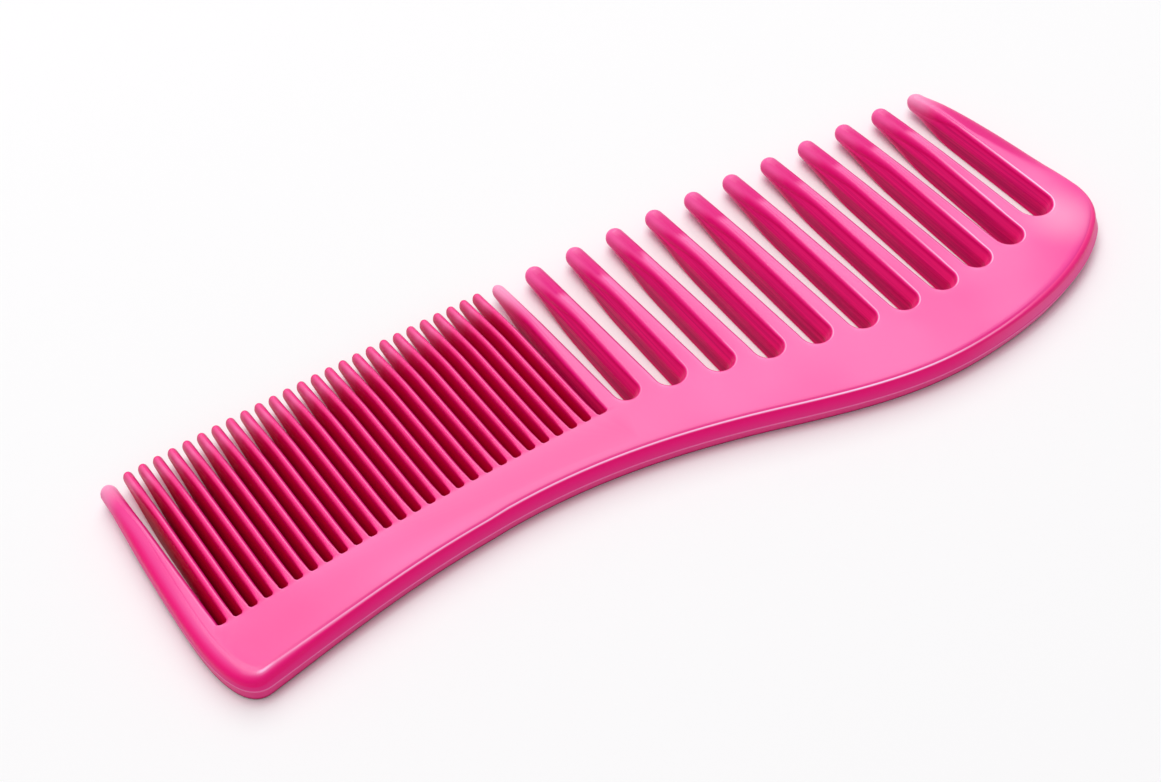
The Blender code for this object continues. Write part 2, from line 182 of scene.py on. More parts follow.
# width of the soft bevel along the end guard: y, width
endBevel = (
    (-0.012, 0.0012), (-0.0053, 0.0021), (0.0029, 0.0038), (0.0105, 0.0046), (0.0182, 0.0032),
    (0.028, 0.0016),
)


def mix(a, b, share):
    return a + (b - a) * share


def ease(low, high, value):
    share = min(1.0, max(0.0, (value - low) / (high - low)))
    return share * share * (3 - 2 * share)


def follow(table, value):
    # straight lines between a table's pairs
    return np.interp(value, [pair[0] for pair in table], [pair[1] for pair in table])


def outerEdge():
    path, starts = [], []
    size = Vector((comb["length"], comb["width"]))
    for here, after in zip(outerKnots, outerKnots[1:]):
        start = Vector(here[:2]) * size
        end = Vector(after[:2]) * size
        leaving = start + Vector(here[4:]) * size
        arriving = end + Vector(after[2:4]) * size
        starts.append(len(path))
        curve = interpolate_bezier(start, leaving, arriving, end, comb["stepsPerKnot"] + 1)
        path += [(p.x, p.y) for p in curve[:-1]]
    starts.append(len(path))
    path.append((end.x, end.y))
    return path, starts


outerPath, knotPlaces = outerEdge()
heelSide = outerPath[: knotPlaces[edgeKnots["heelCorner"]] + 1]
backEdge = outerPath[knotPlaces[edgeKnots["heelCorner"]]:]
endSide = outerPath[knotPlaces[edgeKnots["endCorner"]]:]


def crossing(path, value, axis):
    # the other coordinate where a path first reaches this value
    for here, after in zip(path, path[1:]):
        low, high = sorted((here[axis], after[axis]))
        if low <= value <= high and high > low:
            share = (value - here[axis]) / (after[axis] - here[axis])
            return mix(here[1 - axis], after[1 - axis], share)
    return min(path, key=lambda p: abs(p[axis] - value))[1 - axis]


# where the solids say each tooth stands
fineTeeth = [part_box(f"fine_tooth_{i + 1:02d}") for i in range(comb["fineCount"])]
wideTeeth = [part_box(f"wide_tooth_{i + 1:02d}") for i in range(comb["wideCount"])]
heelBox, middleBox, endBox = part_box("heel_guard"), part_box("middle_guard"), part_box("end_guard")
heelInner = fineTeeth[0][0].x - comb["heelGap"]
endInner = comb["length"] / 2 - comb["endGuardWidth"]
print("teeth placed:", len(fineTeeth), "fine,", len(wideTeeth), "wide")


def slotDepth(i):
    # the slots' depths rise and fall along the wide bank
    shares = comb["slotDepthShares"]
    place = i / len(wideTeeth) * (len(shares) - 1)
    lower = min(int(place), len(shares) - 2)
    return comb["spineDepth"] * mix(shares[lower], shares[lower + 1], place - lower)


def slotPlaces():
    # left wall, right wall and the height where the round end begins, for each wide slot
    walls = [middleBox[1].x] + [x for low, high in wideTeeth for x in (low.x, high.x)] + [endInner]
    found = []
    for i in range(len(wideTeeth) + 1):
        left, right = walls[2 * i], walls[2 * i + 1]
        root = crossing(backEdge, (left + right) / 2, 0) + slotDepth(i)
        found.append((left, right, root + (right - left) / 2))
    return found


def slotGleam(i):
    return mix(*comb["slotGleams"], i / len(wideTeeth))


def fineFloor(gap):
    # the floor of a fine gap, just below the seat of the tooth on its left
    return fineTeeth[max(0, gap - 1)][0].y - comb["fineRootDrop"]


slots = slotPlaces()

# what a place on the outline is like where nothing else is said: outer is 1 on the outer edge, bank in the
# fine bank, root at a tooth's root, top where a fine tooth's face begins, full at a tip, and lee on the walls
# that face left
plainLook = {
    "half": comb["halfThickness"], "crown": comb["spineCrown"], "depthShare": comb["rimDepthShare"],
    "lip": 0.0, "chamfer": 0.0, "outer": 0.0, "bank": 0.0, "root": 1.0, "top": 1.0, "full": 0.0, "lee": 1.0,
    "band": 0.0, "deep": 0.0, "pale": 0.0, "gleam": 0.0, "flush": 0.0,
}

# shape and looks of the teeth: bank is 1 in the fine bank and 0 in the wide one
fineLook = {
    "bank": 1.0,
    "leftLean": comb["fineLean"],
    "rightLean": comb["fineLean"],
    "seatRim": comb["fineEndRim"],
    "shoulderRim": comb["fineRim"],
    "crown": comb["fineCrown"],
    "cap": comb["fineCap"],
    "tipHalf": comb["fineTipHalf"],
    "tipThick": comb["fineTipThick"],
    "thinning": comb["thinning"],
    "steps": 12,
    "tipSteps": 8,
    "pale": 0.80,
    "gleam": 0.0,
    "gleamLength": 0.001,
    "flush": 0.5,
}
wideLook = {
    "bank": 0.0,
    "leftLean": comb["wideLean"],
    "rightLean": comb["wideLean"],
    "seatRim": comb["slotRim"],
    "shoulderRim": comb["shoulderRim"],
    "crown": comb["wideCrown"],
    "cap": comb["wideCap"],
    "tipHalf": comb["wideTipHalf"],
    "tipThick": comb["wideTipThick"],
    "thinning": comb["wideThinning"],
    "steps": 22,
    "tipSteps": 12,
    "pale": 0.1,
    "paleLength": 0.006,
    "gleam": 0.8,
    "gleamLength": 0.006,
    "flush": 1.0,
}
guardLook = dict(wideLook, thinning=comb["thinning"])
middleLook = dict(
    guardLook, leftLean=comb["fineLean"], tipHalf=comb["middleTipHalf"], tipThick=comb["middleTipThick"],
    pale=0.75, paleLength=0.010, gleam=0.0, flush=0.0,
)
endLook = dict(
    guardLook, cap=comb["endCap"], pale=0.7, paleLength=0.007, gleam=1.0, gleamLength=0.030, flush=0.0,
)
heelLook = dict(
    guardLook, rightLean=comb["fineLean"], tipThick=comb["heelTipThick"],
    pale=0.7, paleLength=0.005, gleam=0.0, flush=0.3,
)

# round ends of the gaps
slotEnd = {
    "bank": 0.0,
    "lean": comb["wideLean"],
    "rim": comb["slotRim"],
    "reach": comb["slotReach"],
    "sideReach": comb["slotSideReach"],
    "steps": 16,
}
fineEnd = {
    "bank": 1.0,
    "lean": comb["fineLean"],
    "rim": comb["fineEndRim"],
    "reach": comb["fineReach"],
    "sideReach": comb["fineSideReach"],
    "steps": 8,
}


def station(x, y, **looks):
    # one place on the outline, at the parting line, with what its edge is like there
    return {**plainLook, "x": x, "y": y, **looks}


def toothHalf(y, thinFrom, shoulder, tipThick):
    thinned = max(0.0, (min(y, shoulder) - thinFrom) / (shoulder - thinFrom))
    return mix(comb["halfThickness"], tipThick, thinned ** comb["thinningPower"])


def toothOutline(seat, tip, sides, rightFrom, leftFrom, look):
    # right side going up, over the tip, left side going down; sides(y) gives left, right and axis
    tipX, tipY = tip
    shoulder = tipY - look["cap"]
    thinFrom = max(tipY - look["thinning"], (seat + shoulder) / 2)
    rows = []

    def paleness(side, y):
        if not look["bank"]:
            return look["pale"] * ease(shoulder - look["paleLength"], tipY, y)
        if side == "right":
            return 0.0
        # painted light: fine teeth are painted paler on their left, just below the tip, where light shines
        # through
        comes, full, goes = comb["fineLight"]
        shown = look["pale"] * ease(shoulder - comes, shoulder - full, y)
        return shown * (1 - ease(shoulder - goes, tipY, y))

    def flushness(side, y):
        # painted shade: a deeper patch behind each tip, where the top slopes away from the light, with an
        # edge across the tooth
        if look["bank"] and side == "left":
            return 0.0
        comes, full, goes, gone = comb["flushPatch"]
        shown = look["flush"] * ease(tipY - comes, tipY - full, y)
        return shown * (1 - ease(shoulder - goes, tipY - gone, y))

    def place(x, y, axisY, side):
        axis = sides(axisY)[2]
        along = max(0.0, (min(y, shoulder) - seat) / (shoulder - seat))
        tipward = ease(thinFrom, shoulder, y)
        reach = math.hypot(x - axis, y - axisY)
        lean = look[side + "Lean"] * (1 - tipward)
        widest = (reach - lean) * comb["tipRimShare"]
        rim = mix(look["shoulderRim"], widest, along ** comb["rimPower"])
        below, above = comb["seatBlend"]
        rim = mix(look["seatRim"], rim, ease(seat - below, seat + above, y))
        gleam = look["gleam"] * (1 - ease(seat, seat + look["gleamLength"], y)) if side == "left" else 0.0
        return station(
            x, y, target=(axis, axisY), reach=reach, lean=lean, rim=min(rim, widest),
            crown=mix(look["crown"], comb["tipCrown"], tipward),
            half=toothHalf(y, thinFrom, shoulder, look["tipThick"]),
            full=tipward, bank=look["bank"], lee=1.0 if side == "left" else 0.0,
            root=1 - along ** mix(1.0, comb["fineRootPower"], look["bank"]),
            deep=1 - comb["tipShallow"] * ease(shoulder - comb["deepFade"], shoulder, y),
            pale=paleness(side, y), flush=flushness(side, y), gleam=gleam,
        )

    for step in range(look["steps"] + 1):
        y = mix(rightFrom, shoulder, step / look["steps"])
        rows.append(place(sides(y)[1], y, y, "right"))
    left, right, _ = sides(shoulder)
    for step in range(1, look["tipSteps"]):
        angle = math.pi * step / look["tipSteps"]
        wall, side = (right, "right") if angle < math.pi / 2 else (left, "left")
        x = tipX + abs(wall - tipX) * math.cos(angle)
        y = shoulder + look["cap"] * math.sin(angle)
        rows.append(place(x, y, shoulder, side))
    for step in range(look["steps"] + 1):
        y = mix(shoulder, leftFrom, step / look["steps"])
        rows.append(place(sides(y)[0], y, y, "left"))
    return rows


def straightTooth(box, rightFrom, leftFrom, look):
    # a tooth that narrows alike on both sides
    low, high = box
    axis, rootHalf, shoulder = (low.x + high.x) / 2, (high.x - low.x) / 2, high.y - look["cap"]

    def sides(y):
        share = min(1.0, max(0.0, (y - low.y) / (shoulder - low.y)))
        half = mix(rootHalf, look["tipHalf"], share ** comb["taperPower"])
        return axis - half, axis + half, axis

    return toothOutline(low.y, (axis, high.y), sides, rightFrom, leftFrom, look)


def gapArc(left, right, floorY, depth, gleam, gap):
    # round end of a gap, from its right wall to its left wall
    middle, radius = (left + right) / 2, (right - left) / 2
    rows = []
    for step in range(1, gap["steps"]):
        angle = -math.pi * step / gap["steps"]
        across, down = math.cos(angle), math.sin(angle)
        sideways = radius + gap["sideReach"] * comb["sideShare"]
        far = min(gap["reach"], sideways / max(abs(across), comb["leastAcross"]) - radius)
        x, y = middle + radius * across, floorY + depth + depth * down
        aim = Vector((across * depth, down * radius)).normalized()
        rows.append(station(
            x, y, target=(x + far * aim.x, y + far * aim.y), reach=far, lean=gap["lean"], rim=gap["rim"],
            bank=gap["bank"], top=0.0, deep=1.0, gleam=gleam * ease(*comb["rimShine"], across),
            lee=ease(*comb["rimLee"], across),
        ))
    return rows


def outerStation(i, heel, end):
    # heel and end give each guard's seat, shoulder, tip, sides and look
    x, y = outerPath[i]
    before, after = Vector(outerPath[max(0, i - 1)]), Vector(outerPath[min(len(outerPath) - 1, i + 1)])
    along = (after - before).normalized()
    target = Vector((x, y)) + Vector((-along.y, along.x)) * comb["spineReach"]
    knot = i / comb["stepsPerKnot"]
    rim, lip, depthShare = comb["backRim"], comb["lip"], comb["rimDepthShare"]
    half, lean = comb["halfThickness"], comb["wideLean"]
    chamfer, full, pale, flush = 0.0, 0.0, 0.0, 0.0
    guard = heel if knot < edgeKnots["heelGuard"] else end if knot > edgeKnots["endCorner"] else None
    if guard:
        seat, shoulder, tipY, sides, look = guard
        if y > shoulder:
            return None
        below, above = comb["guardTurn"]
        target = target.lerp(Vector((sides(y)[2], y)), ease(seat - below, seat + above, y))
        thinFrom = tipY - look["thinning"]
        full = ease(thinFrom, shoulder, y)
        if y > thinFrom:
            half = toothHalf(y, thinFrom, shoulder, look["tipThick"])
        pale = look["pale"] * ease(shoulder - look["paleLength"], tipY, y)
    if guard is heel:
        toBack = ease(*edgeKnots["heelBevel"], knot)
        lean = mix(lean, comb["guardLean"], 1 - toBack) * (1 - full)
        rim = mix(comb["heelRim"], comb["backRim"], toBack)
        depthShare = mix(comb["heelDepthShare"], depthShare, toBack)
        lip = comb["lip"] * ease(*edgeKnots["heelLip"], knot)
    if guard is end:
        lean = mix(lean, comb["guardLean"], ease(*edgeKnots["endLean"], knot)) * (1 - full)
        rim = follow(endBevel, y)
        chamfer = comb["endChamfer"] * ease(*comb["chamferRise"], y) * (1 - full)
        depthShare = mix(depthShare, comb["endDepthShare"], ease(*comb["chamferRise"], y))
        flush = ease(*comb["flushRise"], y) * (1 - full * comb["tipAwayShade"])
    if knot > edgeKnots["corner"][0]:
        lip = comb["lip"] * (1 - ease(*edgeKnots["lipFade"], knot))
        rim = max(rim, mix(comb["backRim"], comb["cornerRim"], ease(*edgeKnots["corner"], knot)))
    reach = (target - Vector((x, y))).length
    widest = (reach - lean) * comb["tipRimShare"]
    if guard:
        rim = mix(rim, widest, full)
    return station(
        x, y, target=tuple(target), reach=reach, lean=lean, rim=min(rim, widest), half=half,
        crown=mix(comb["spineCrown"], comb["tipCrown"], full),
        lip=lip, chamfer=chamfer, depthShare=depthShare,
        outer=1.0, full=full, pale=pale, flush=flush, gleam=follow(edgeGleam, knot),
        band=ease(*edgeKnots["bandStart"], knot) * (1 - ease(*edgeKnots["bandEnd"], knot)),
        lee=1 - ease(*edgeKnots["farSide"], knot),
    )


def combOutline():
    heelTipY, endTipY = heelBox[1].y, endBox[1].y
    heelShoulder, endShoulder = heelTipY - heelLook["cap"], endTipY - endLook["cap"]
    heelSeat, endSeat = heelBox[0].y, endBox[0].y
    heelTipRight = crossing(heelSide, heelShoulder, 1) + comb["heelTipWidth"]
    endTipLeft = crossing(endSide, endShoulder, 1) - comb["endTipWidth"]

    def heelSides(y):
        left = crossing(heelSide, y, 1)
        right = mix(heelInner, heelTipRight, max(0.0, (y - heelSeat) / (heelShoulder - heelSeat)))
        tipward = ease(heelTipY - heelLook["thinning"], heelShoulder, y)
        return left, right, mix(left, right, mix(*comb["heelAxis"], tipward))

    def endSides(y):
        lastY = endSide[-1][1]
        right = crossing(endSide, min(y, lastY), 1) - comb["endTipLean"] * max(0.0, y - lastY)
        left = mix(endInner, endTipLeft, max(0.0, (y - endSeat) / (endShoulder - endSeat)))
        tipward = ease(endTipY - endLook["thinning"], endShoulder, y)
        return left, right, mix(left, right, mix(*comb["endAxis"], tipward))

    # outer edge: down the heel guard, round the heel, along the back and up the end guard
    heel = (heelSeat, heelShoulder, heelTipY, heelSides, heelLook)
    end = (endSeat, endShoulder, endTipY, endSides, endLook)
    rows = [row for row in (outerStation(i, heel, end) for i in range(len(outerPath))) if row]

    # end guard's tip and inner side
    endTip = (comb["length"] / 2 - comb["endTipInset"], endTipY)
    rows += toothOutline(endSeat, endTip, endSides, endSeat, slots[-1][2], endLook)[endLook["steps"]:]

    # wide bank, from the end guard back to the middle guard
    for i in range(len(wideTeeth), -1, -1):
        left, right, springY = slots[i]
        radius = (right - left) / 2
        rows += gapArc(left, right, springY - radius, radius, slotGleam(i), slotEnd)
        if i > 0:
            gleamLength = mix(*comb["toothGleams"], ((i - 1) / (len(wideTeeth) - 1)) ** 2)
            look = dict(wideLook, gleam=slotGleam(i - 1), gleamLength=gleamLength)
            rows += straightTooth(wideTeeth[i - 1], springY, slots[i - 1][2], look)

    # middle guard
    leftFrom = fineFloor(len(fineTeeth)) + comb["fineEndDepth"]
    rows += straightTooth(middleBox, slots[0][2], leftFrom, middleLook)

    # fine bank
    for i in range(len(fineTeeth), -1, -1):
        left = heelInner if i == 0 else fineTeeth[i - 1][1].x
        right = middleBox[0].x if i == len(fineTeeth) else fineTeeth[i][0].x
        rows += gapArc(left, right, fineFloor(i), comb["fineEndDepth"], 0.0, fineEnd)
        if i > 0:
            rightFrom = fineFloor(i) + comb["fineEndDepth"]
            leftFrom = fineFloor(i - 1) + comb["fineEndDepth"]
            rows += straightTooth(fineTeeth[i - 1], rightFrom, leftFrom, fineLook)

    # heel guard's inner side and tip
    heelTip = (comb["heelTipInset"] - comb["length"] / 2, heelTipY)
    rightFrom = fineFloor(0) + comb["fineEndDepth"]
    lastRow = heelLook["steps"] + heelLook["tipSteps"]
    rows += toothOutline(heelSeat, heelTip, heelSides, rightFrom, heelSeat, heelLook)[:lastRow]
    return rows


# loops over the parting line: share of its width, share of its height, painted glow
partingLine = ((0.0, 0.0, 1.0), (0.5, 0.6, 0.8), (1.6, 1.0, 0.0))

# loops up the wall: share of its height, painted crease shade
upTheWall = ((0.12, 0.0), (0.7, 0.0), (0.9, 0.5))

# how each look changes across the rounded edge, in eight loops from the wall to the face
acrossRim = {
    "crease": (1.0, 0.55, 0.15, 0, 0, 0, 0, 0),
    "edgeCrease": (1.0, 1.0, 1.0, 0.9, 0.5, 0, 0, 1.0),
    "bandCrease": (0.1, 0, 0, 0, 0.3, 0.6, 0.7, 0.6),   # painted shade where the back turns up to the wide end
    "slotGleam": (0, 0, 0, 0, 0, 0.3, 1.0, 0.6),
    "edgeGleam": (0, 0, 0, 0, 0.2, 1.0, 1.0, 0),
    "softGleam": (0, 0, 0, 0, 0, 0.2, 1.0, 0),
    "dusk": (1.0, 1.0, 1.0, 1.0, 1.0, 0.75, 0.2, 0),
    "flush": (1.0, 1.0, 1.0, 1.0, 1.0, 1.0, 0.95, 0.8),
    "leeAwayShade": (0, 0, 0, 0, 0, 0.2, 0.8, 1.0),
    "glow": (0, 0, 0, 0, 0, 0.2, 0.8, 1.0),
}

# and on over the face: share of the way in, depth of the dip, its painted shade, painted band shade, painted
# shade where the face turns from the light, painted glow
acrossFace = (
    (0.03, 0.7, 1.0, 0.45, 0.7, 1.0),
    (0.12, 1.0, 0.9, 0.25, 0.5, 0.7),
    (0.21, 0.3, 0.15, 0.1, 0.3, 0.5),
    (0.36, 0.0, 0.0, 0.0, 0.1, 0.25),
    (0.60, 0.0, 0.0, 0.0, 0.0, 0.1),
)


def rimLevels(rows, under=False):
    # each loop's places and looks, from the parting line over the rounded edge to the face
    def column(name):
        return np.array([row[name] for row in rows])

    lean, rim, half, reach, crown = (column(name) for name in ("lean", "rim", "half", "reach", "crown"))
    lip, chamfer, full, lee, outer = (column(name) for name in ("lip", "chamfer", "full", "lee", "outer"))
    flush, gleam, bank, band = (column(name) for name in ("flush", "gleam", "bank", "band"))
    inner = lip / comb["lip"] * (1 - full)
    broad = np.clip((rim - comb["backRim"]) / comb["backRim"], 0, 1)
    if under:
        flare = -mix(comb["wideUnderFlare"], comb["fineUnderFlare"], bank) * column("root")
        lean = mix(flare, lean, outer)
        underRim = mix(comb["underRim"], comb["outerUnderRim"], outer)
        rim = mix(np.minimum(rim, underRim), rim, full)
    edge = half - crown
    deep = mix(np.minimum(rim, edge * column("depthShare")), edge * comb["tipDepthShare"], full)
    beadHigh = comb["beadHigh"] * mix(comb["innerBeadShare"], 1.0, outer)
    beadHigh = np.minimum(beadHigh, (edge - deep) * comb["beadRoom"])
    bead = comb["beadOut"] * outer
    loops = []

    def loop(inset, height, rise=0.0, crease=0.0, gleam=0.0, dusk=0.0, awayShading=0.0, glow=0.0):
        at = {
            "inset": inset, "height": height, "rise": rise, "crease": crease, "gleam": gleam, "glow": glow,
            "dusk": dusk * (1 - lee) * (1 - full * comb["tipDusk"]) * (1 - outer), "flush": awayShading * flush,
        }
        loops.append({name: np.zeros(len(rows)) + value for name, value in at.items()})

    for out, up, glow in partingLine:
        loop(bead * out, beadHigh * up, glow=outer * glow)
    for share, crease in upTheWall:
        inset = mix(bead * comb["beadFoot"], lean, share)
        height = mix(beadHigh, edge - deep, share)
        loop(inset, height, crease=crease * lee * (1 - full), glow=band * comb["bandGlow"])
    right = (1 - lee) * (1 - outer) * (1 - full)
    steps = len(acrossRim["crease"]) - 1
    for step in range(steps + 1):
        angle = math.pi / 2 * step / steps
        inset = lean + rim * mix(1 - math.cos(angle), step / steps, chamfer)
        height = edge - deep + deep * mix(math.sin(angle), step / steps, chamfer)
        at = {name: values[step] for name, values in acrossRim.items()}
        shade = mix(at["edgeCrease"] * lee * (inner if step == steps else 1), at["bandCrease"], band)
        shine = mix(at["edgeGleam"], at["softGleam"], broad)
        loop(
            inset, height, step / steps, crease=mix(at["crease"] * lee, shade, outer) * (1 - full),
            gleam=gleam * mix(at["slotGleam"], shine, outer), dusk=at["dusk"],
            awayShading=mix(at["flush"], at["leeAwayShade"], lee), glow=at["glow"] * right,
        )
    spare = reach - lean - rim
    lastShare = acrossFace[-1][0]
    for share, dip, shade, soft, awayShading, glow in acrossFace:
        height = half - crown * (1 - share / lastShare) ** 2 - lip * dip
        loop(
            lean + rim + spare * share, height, 1.0, crease=shade * inner + soft * band,
            awayShading=mix(1.0, awayShading, outer), glow=glow * right,
        )
    return loops


loopLooks = ("rise", "crease", "gleam", "dusk", "flush", "glow")     # painted loop by loop
rowLooks = ("deep", "pale", "bank", "outer", "full", "top")          # the same in every loop
wholeNumbers = ("place", "level")


def readSpots(mesh):
    spots = np.zeros(len(mesh.vertices) * 3, np.float32)
    mesh.vertices.foreach_get("co", spots)
    return spots.reshape(-1, 3)


def readPaint(mesh, name):
    data = mesh.attributes[name].data
    values = np.zeros(len(data), np.int32 if name in wholeNumbers else np.float32)
    data.foreach_get("value", values)
    return values


def raiseLoop(mesh, level, loop, edge, aim):
    # extrudes the last face and moves its corners to the next loop's places
    bpy.ops.object.mode_set(mode="EDIT")
    bpy.ops.mesh.select_mode(type="FACE")
    if level == 0:
        bpy.ops.mesh.select_all(action="SELECT")
    else:
        bpy.ops.mesh.extrude_region()
    bpy.ops.object.mode_set(mode="OBJECT")
    chosen = np.zeros(len(mesh.vertices), bool)
    mesh.vertices.foreach_get("select", chosen)
    picked = readPaint(mesh, "place")[chosen]
    spots = readSpots(mesh)
    spots[chosen, :2] = edge[picked] + aim[picked] * loop["inset"][picked, None]
    spots[chosen, 2] = loop["height"][picked]
    mesh.vertices.foreach_set("co", spots.ravel())
    levels = readPaint(mesh, "level")
    levels[chosen] = level
    mesh.attributes["level"].data.foreach_set("value", levels)
    for name in loopLooks:
        values = readPaint(mesh, name)
        values[chosen] = loop[name][picked]
        mesh.attributes[name].data.foreach_set("value", values)


def reshapeUnderside(mesh, rows, edge, aim):
    # the lower half has its own walls and edges
    loops = rimLevels(rows, under=True)
    insets, heights = (np.array([loop[name] for loop in loops]) for name in ("inset", "height"))
    spots = readSpots(mesh)
    below = spots[:, 2] < -comb["beadHigh"] * comb["innerBeadShare"]
    places, levels = readPaint(mesh, "place")[below], readPaint(mesh, "level")[below]
    spots[below, :2] = edge[places] + aim[places] * insets[levels, places][:, None]
    spots[below, 2] = -heights[levels, places]
    mesh.vertices.foreach_set("co", spots.ravel())
    mesh.update()


def buildComb():
    rows = combOutline()
    edge = np.array([(row["x"], row["y"]) for row in rows])
    inward = np.array([row["target"] for row in rows]) - edge
    aim = inward / np.linalg.norm(inward, axis=1)[:, None]

    bpy.ops.object.select_all(action="DESELECT")
    bpy.ops.mesh.primitive_circle_add(vertices=len(rows), radius=comb["length"] / 2, fill_type="NGON")
    piece = bpy.context.object
    piece.name = "combMoulding"
    mesh = piece.data
    for name in wholeNumbers:
        mesh.attributes.new(name, "INT", "POINT")
    for name in (*loopLooks, *rowLooks):
        mesh.attributes.new(name, "FLOAT", "POINT")
    mesh.attributes["place"].data.foreach_set("value", np.arange(len(rows), dtype=np.int32))
    for level, loop in enumerate(rimLevels(rows)):
        raiseLoop(mesh, level, loop, edge, aim)
    places = readPaint(mesh, "place")
    for name in rowLooks:
        values = np.array([row[name] for row in rows], np.float32)
        mesh.attributes[name].data.foreach_set("value", values[places])
    mesh.update()

    # the last loop's face is long and many-sided, so it is cut into triangles
    bpy.ops.object.mode_set(mode="EDIT")
    bpy.ops.mesh.select_mode(type="FACE")
    bpy.ops.mesh.select_all(action="DESELECT")
    bpy.ops.mesh.select_face_by_sides(number=4, type="GREATER")
    bpy.ops.mesh.quads_convert_to_tris(quad_method="BEAUTY", ngon_method="BEAUTY")
    bpy.ops.object.mode_set(mode="OBJECT")

    mirror = piece.modifiers.new("otherFace", "MIRROR")
    mirror.use_axis = (False, False, True)
    mirror.merge_threshold = comb["mergeReach"]
    bpy.ops.object.modifier_apply(modifier="otherFace")
    reshapeUnderside(mesh, rows, edge, aim)

    bpy.ops.object.mode_set(mode="EDIT")
    bpy.ops.mesh.select_all(action="SELECT")
    bpy.ops.mesh.normals_make_consistent(inside=False)
    bpy.ops.transform.translate(value=(0, 0, comb["halfThickness"]))
    bpy.ops.object.mode_set(mode="OBJECT")
    bpy.ops.object.shade_smooth()
    weighted = piece.modifiers.new("evenShading", "WEIGHTED_NORMAL")
    weighted.keep_sharp = True
    bpy.ops.object.modifier_apply(modifier="evenShading")
    print("comb moulded:", len(rows), "places round the outline,", len(piece.data.polygons), "faces")
    return piece


combPiece = buildComb()


class Wire:
    # a socket that can be used in sums, so that shader maths reads like maths
    def __init__(self, tree, socket=None):
        self.tree = tree
        self.socket = socket

    def add(self, kind, settings=None, inputs=None, out=0):
        node = self.tree.nodes.new("ShaderNode" + kind)
        for name, value in (settings or {}).items():
            setattr(node, name, value)
        for name, value in (inputs or {}).items():
            if isinstance(value, Wire):
                self.tree.links.new(value.socket, node.inputs[name])
            else:
                node.inputs[name].default_value = value
        return Wire(self.tree, node.outputs[out])

    def maths(self, operation, *values):
        return self.add("Math", {"operation": operation}, dict(enumerate(values)))

    def __add__(self, other):
        return self.maths("ADD", self, other)

    def __sub__(self, other):
        return self.maths("SUBTRACT", self, other)

    def __rsub__(self, other):
        return self.maths("SUBTRACT", other, self)

    def __mul__(self, other):
        return self.maths("MULTIPLY", self, other)

    __radd__ = __add__
    __rmul__ = __mul__

    def between(self, low, high):
        # 0 below low, 1 above high, smooth between
        ends = {"Value": self, "From Min": low, "From Max": high}
        return self.add("MapRange", {"interpolation_type": "SMOOTHSTEP"}, ends)

    def colours(self, first, second):
        # 6, 7 and 2 are the Mix node's colour sockets
        return self.add("Mix", {"data_type": "RGBA"}, {"Factor": self, 6: first, 7: second}, out=2)

    def noise(self, vector, scale, detail, roughness):
        inputs = {"Vector": vector, "Scale": scale, "Detail": detail, "Roughness": roughness}
        return self.add("TexNoise", inputs=inputs, out="Fac")

    def feed(self, shader, socket):
        self.tree.links.new(self.socket, shader.inputs[socket])


